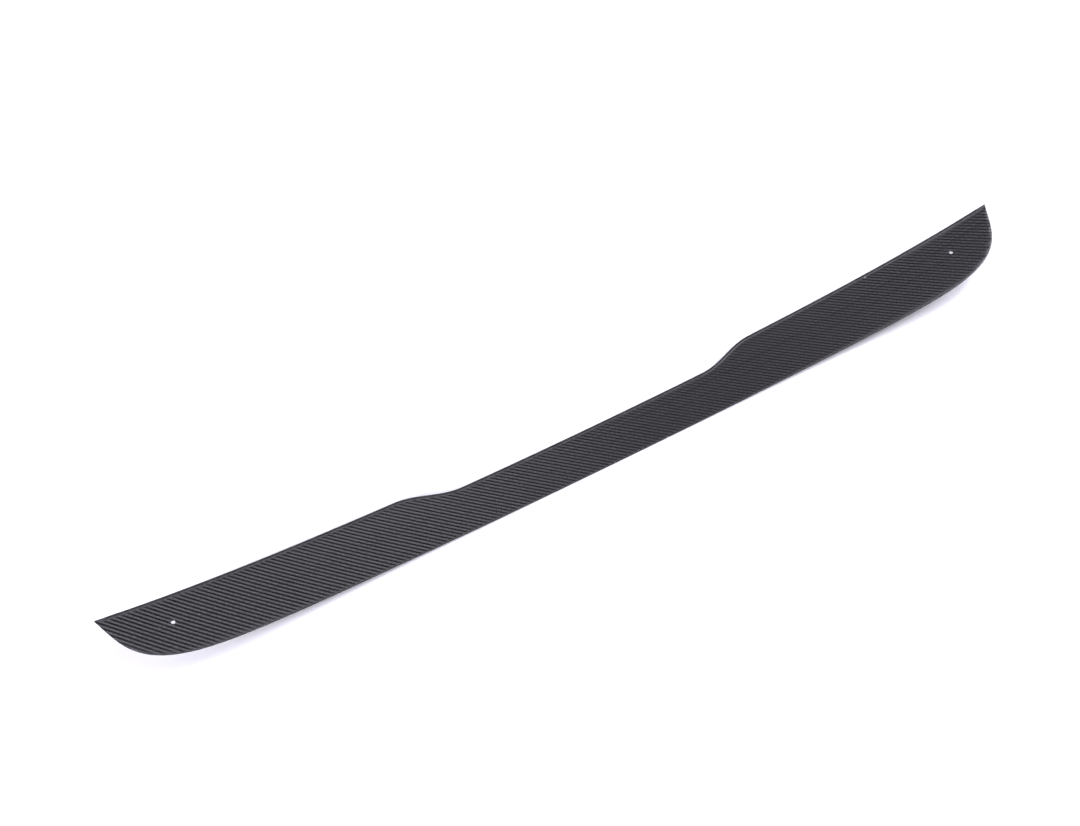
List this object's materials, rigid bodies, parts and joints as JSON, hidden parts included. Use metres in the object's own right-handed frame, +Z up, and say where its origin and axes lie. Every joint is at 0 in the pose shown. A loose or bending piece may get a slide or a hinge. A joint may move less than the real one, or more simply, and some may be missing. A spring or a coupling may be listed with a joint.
{
  "type": "car rear spoiler",
  "caption": "Thin carbon-laminate lip spoiler for a boot lid's rear edge: a long crowned blade, narrow in the middle, with wide pointed ends and a turned-up rim along its stepped edge.",
  "frame": {"origin": "centre of the box on the floor that the blade lies on, under the middle of its length", "axes": "+X along the blade's length, +Y across it towards the stepped edge, +Z up, out of the bonding side"},
  "size_m": [1.2, 0.087, 0.0573],
  "materials": {
    "carbon_laminate": "twill-woven carbon fibre under a satin clear resin"
  },
  "bodies": {
    "root": {"spoiler_blade": "carbon_laminate"}
  },
  "joints": []
}
